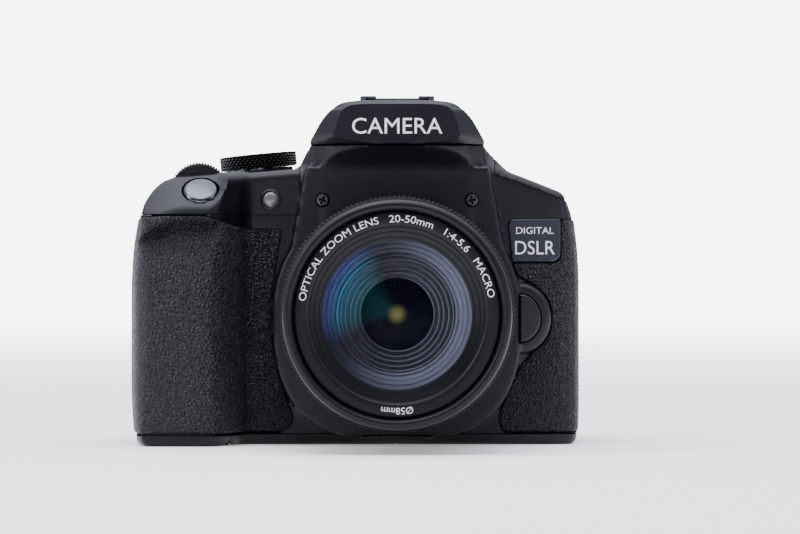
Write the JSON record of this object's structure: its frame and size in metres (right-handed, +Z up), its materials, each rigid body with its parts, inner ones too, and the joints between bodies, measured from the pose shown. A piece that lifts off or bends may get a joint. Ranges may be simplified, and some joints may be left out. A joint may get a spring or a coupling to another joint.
{
  "type": "dslr camera",
  "caption": "Single-lens reflex camera with a deep hand grip, prism housing with pop-up flash, side-hinged screen and a standard zoom lens.",
  "frame": {"origin": "on the base, under the optical axis, in the plane of the image sensor", "axes": "+X to the right when facing the lens, +Y from the lens to the back, +Z up; the lens points along -Y"},
  "size_m": [0.1337, 0.132, 0.1026],
  "materials": {
    "body_plastic": "satin moulded polycarbonate, very dark grey",
    "grip_rubber": "fine grained rubber covering, black",
    "control_plastic": "polished black plastic of buttons and dials",
    "shutter_cap": "glossy dark grey button cap",
    "lens_plastic": "fine satin black lens barrel",
    "lens_rubber": "ribbed rubber of the lens rings",
    "bright_steel": "bright stainless steel",
    "black_metal": "black painted metal",
    "lens_glass": "multi-coated optical glass",
    "window": "clear moulded window",
    "screen": "gloss black screen cover",
    "lamp": "pale diffusing lamp cap",
    "mirror_coat": "silvered mirror",
    "sensor_cover": "sensor under its filter stack",
    "badge": "badge plate"
  },
  "bodies": {
    "camera_body": {"front_cover": "body_plastic", "rear_cover": "body_plastic", "top_cover": "body_plastic", "bottom_cover": "body_plastic", "mirror_box": "body_plastic", "grip_rubber": "grip_rubber", "front_rubber": "grip_rubber", "thumb_rubber": "grip_rubber", "eyecup": "grip_rubber", "battery_pack": "control_plastic", "lens_barrel": "lens_plastic", "strap_lug_right": "bright_steel", "strap_lug_left": "bright_steel", "hot_shoe": "bright_steel", "tripod_socket": "bright_steel", "body_mount_ring": "bright_steel", "front_screw_right": "black_metal", "front_screw_left": "black_metal", "shutter_unit": "black_metal", "eyepiece_lens": "lens_glass", "self_timer_lamp": "lamp", "pentamirror": "mirror_coat", "image_sensor": "sensor_cover", "badge_plate": "badge"},
    "flash": {"flash_head": "body_plastic", "flash_window": "window"},
    "screen": {"screen_hinge": "body_plastic", "screen_housing": "body_plastic", "screen_glass": "screen"},
    "mirror": {"reflex_mirror": "mirror_coat"},
    "lens_front": {"front_barrel": "lens_plastic", "name_ring": "lens_plastic", "front_element": "lens_glass", "iris_unit": "black_metal"},
    "shutter_button": {"shutter_button": "shutter_cap"},
    "main_dial": {"main_dial": "control_plastic"},
    "mode_dial": {"mode_dial": "control_plastic"},
    "power_switch": {"power_switch": "control_plastic"},
    "iso_button": {"iso_button": "control_plastic"},
    "lens_release_button": {"lens_release_button": "control_plastic"},
    "depth_preview_button": {"depth_preview_button": "control_plastic"},
    "live_view_button": {"live_view_button": "control_plastic"},
    "af_on_button": {"af_on_button": "control_plastic"},
    "ae_lock_button": {"ae_lock_button": "control_plastic"},
    "af_point_button": {"af_point_button": "control_plastic"},
    "play_button": {"play_button": "control_plastic"},
    "erase_button": {"erase_button": "control_plastic"},
    "menu_button": {"menu_button": "control_plastic"},
    "info_button": {"info_button": "control_plastic"},
    "set_button": {"set_button": "control_plastic"},
    "quick_dial": {"quick_dial": "control_plastic"},
    "diopter_knob": {"diopter_knob": "control_plastic"},
    "terminal_cover": {"terminal_cover": "grip_rubber"},
    "card_door": {"card_door": "body_plastic"},
    "battery_door": {"battery_door": "body_plastic"},
    "battery_latch": {"battery_latch": "control_plastic"},
    "zoom_ring": {"zoom_ring": "lens_rubber"},
    "focus_ring": {"focus_ring": "lens_rubber"},
    "focus_mode_switch": {"focus_mode_switch": "control_plastic"},
    "stabilizer_switch": {"stabilizer_switch": "control_plastic"}
  },
  "joints": [
    {"name": "shutter_button_press", "type": "slide", "parent": "camera_body", "child": "shutter_button", "axis": [0, 0.6691, -0.7431], "range_m": [0, 0.001], "stiffness_N_per_m": 500, "springref_m": -0.0004},
    {"name": "main_dial_turn", "type": "hinge", "parent": "camera_body", "child": "main_dial", "pos_m": [-0.058, -0.0264, 0.0738], "axis": [0, -1, 0], "continuous": true},
    {"name": "mode_dial_turn", "type": "hinge", "parent": "camera_body", "child": "mode_dial", "pos_m": [-0.0411, -0.0035, 0.0798], "axis": [-0.0958, 0, 0.9954], "continuous": true},
    {"name": "power_switch_turn", "type": "hinge", "parent": "camera_body", "child": "power_switch", "pos_m": [-0.0411, -0.0035, 0.0798], "axis": [-0.0958, 0, 0.9954], "range_deg": [-25, 25]},
    {"name": "iso_button_press", "type": "slide", "parent": "camera_body", "child": "iso_button", "axis": [0, 0, -1], "range_m": [0, 0.0006], "stiffness_N_per_m": 600, "springref_m": -0.0003},
    {"name": "flash_raise", "type": "hinge", "parent": "camera_body", "child": "flash", "pos_m": [0, -0.0193, 0.0996], "axis": [-1, 0, 0], "range_deg": [0, 70]},
    {"name": "lens_release_button_press", "type": "slide", "parent": "camera_body", "child": "lens_release_button", "axis": [0, 1, 0], "range_m": [0, 0.0015], "stiffness_N_per_m": 500, "springref_m": -0.0006},
    {"name": "depth_preview_button_press", "type": "slide", "parent": "camera_body", "child": "depth_preview_button", "axis": [0.7193, 0, 0.6947], "range_m": [0, 0.0008], "stiffness_N_per_m": 600, "springref_m": -0.0003},
    {"name": "screen_open", "type": "hinge", "parent": "camera_body", "child": "screen", "pos_m": [0.0504, 0.0166, 0.038], "axis": [0, 0, -1], "range_deg": [0, 175]},
    {"name": "live_view_button_press", "type": "slide", "parent": "camera_body", "child": "live_view_button", "axis": [0, -1, 0], "range_m": [0, 0.0006], "stiffness_N_per_m": 600, "springref_m": -0.0003},
    {"name": "af_on_button_press", "type": "slide", "parent": "camera_body", "child": "af_on_button", "axis": [0, -1, 0], "range_m": [0, 0.0006], "stiffness_N_per_m": 600, "springref_m": -0.0003},
    {"name": "ae_lock_button_press", "type": "slide", "parent": "camera_body", "child": "ae_lock_button", "axis": [0, -1, 0], "range_m": [0, 0.0006], "stiffness_N_per_m": 600, "springref_m": -0.0003},
    {"name": "af_point_button_press", "type": "slide", "parent": "camera_body", "child": "af_point_button", "axis": [0, -1, 0], "range_m": [0, 0.0006], "stiffness_N_per_m": 600, "springref_m": -0.0003},
    {"name": "play_button_press", "type": "slide", "parent": "camera_body", "child": "play_button", "axis": [0, -1, 0], "range_m": [0, 0.0006], "stiffness_N_per_m": 600, "springref_m": -0.0003},
    {"name": "erase_button_press", "type": "slide", "parent": "camera_body", "child": "erase_button", "axis": [0, -1, 0], "range_m": [0, 0.0006], "stiffness_N_per_m": 600, "springref_m": -0.0003},
    {"name": "menu_button_press", "type": "slide", "parent": "camera_body", "child": "menu_button", "axis": [0, -1, 0], "range_m": [0, 0.0006], "stiffness_N_per_m": 600, "springref_m": -0.0003},
    {"name": "info_button_press", "type": "slide", "parent": "camera_body", "child": "info_button", "axis": [0, -1, 0], "range_m": [0, 0.0006], "stiffness_N_per_m": 600, "springref_m": -0.0003},
    {"name": "set_button_press", "type": "slide", "parent": "camera_body", "child": "set_button", "axis": [0, -1, 0], "range_m": [0, 0.0006], "stiffness_N_per_m": 600, "springref_m": -0.0003},
    {"name": "quick_dial_turn", "type": "hinge", "parent": "camera_body", "child": "quick_dial", "pos_m": [-0.04365, 0.018, 0.0357], "axis": [0, 1, 0], "continuous": true},
    {"name": "diopter_knob_turn", "type": "hinge", "parent": "camera_body", "child": "diopter_knob", "pos_m": [-0.0237, 0.0124, 0.087], "axis": [1, 0, 0], "range_deg": [-150, 150]},
    {"name": "terminal_cover_open", "type": "hinge", "parent": "camera_body", "child": "terminal_cover", "pos_m": [0.0539, -0.018, 0.038], "axis": [0, 0, -1], "range_deg": [0, 110]},
    {"name": "card_door_open", "type": "hinge", "parent": "camera_body", "child": "card_door", "pos_m": [-0.07725, 0.005, 0.037], "axis": [0, 0, -1], "range_deg": [0, 95]},
    {"name": "battery_door_open", "type": "hinge", "parent": "camera_body", "child": "battery_door", "pos_m": [-0.049, -0.018, 0.00015], "axis": [0, -1, 0], "range_deg": [0, 95]},
    {"name": "battery_latch_slide", "type": "slide", "parent": "battery_door", "child": "battery_latch", "axis": [0, -1, 0], "range_m": [0, 0.002], "stiffness_N_per_m": 200, "springref_m": -0.001},
    {"name": "mirror_flip", "type": "hinge", "parent": "camera_body", "child": "mirror", "pos_m": [0, -0.01, 0.0502], "axis": [-1, 0, 0], "range_deg": [0, 45], "stiffness_Nm_per_rad": 0.004, "springref_deg": -22.92},
    {"name": "zoom_turn", "type": "hinge", "parent": "camera_body", "child": "zoom_ring", "pos_m": [0, -0.071, 0.0387], "axis": [0, -1, 0], "range_deg": [0, 75]},
    {"name": "lens_extend", "type": "slide", "parent": "camera_body", "child": "lens_front", "axis": [0, -1, 0], "range_m": [0, 0.0161]},
    {"name": "focus_turn", "type": "hinge", "parent": "lens_front", "child": "focus_ring", "pos_m": [0, -0.091, 0.0387], "axis": [0, -1, 0], "continuous": true},
    {"name": "focus_mode_slide", "type": "slide", "parent": "camera_body", "child": "focus_mode_switch", "axis": [0, 0, 1], "range_m": [0, 0.002]},
    {"name": "stabilizer_slide", "type": "slide", "parent": "camera_body", "child": "stabilizer_switch", "axis": [0, 0, 1], "range_m": [0, 0.002]}
  ],
  "couplings": [
    {"joint": "lens_extend", "follows": "zoom_turn", "m_per_rad": 0.012223}
  ]
}
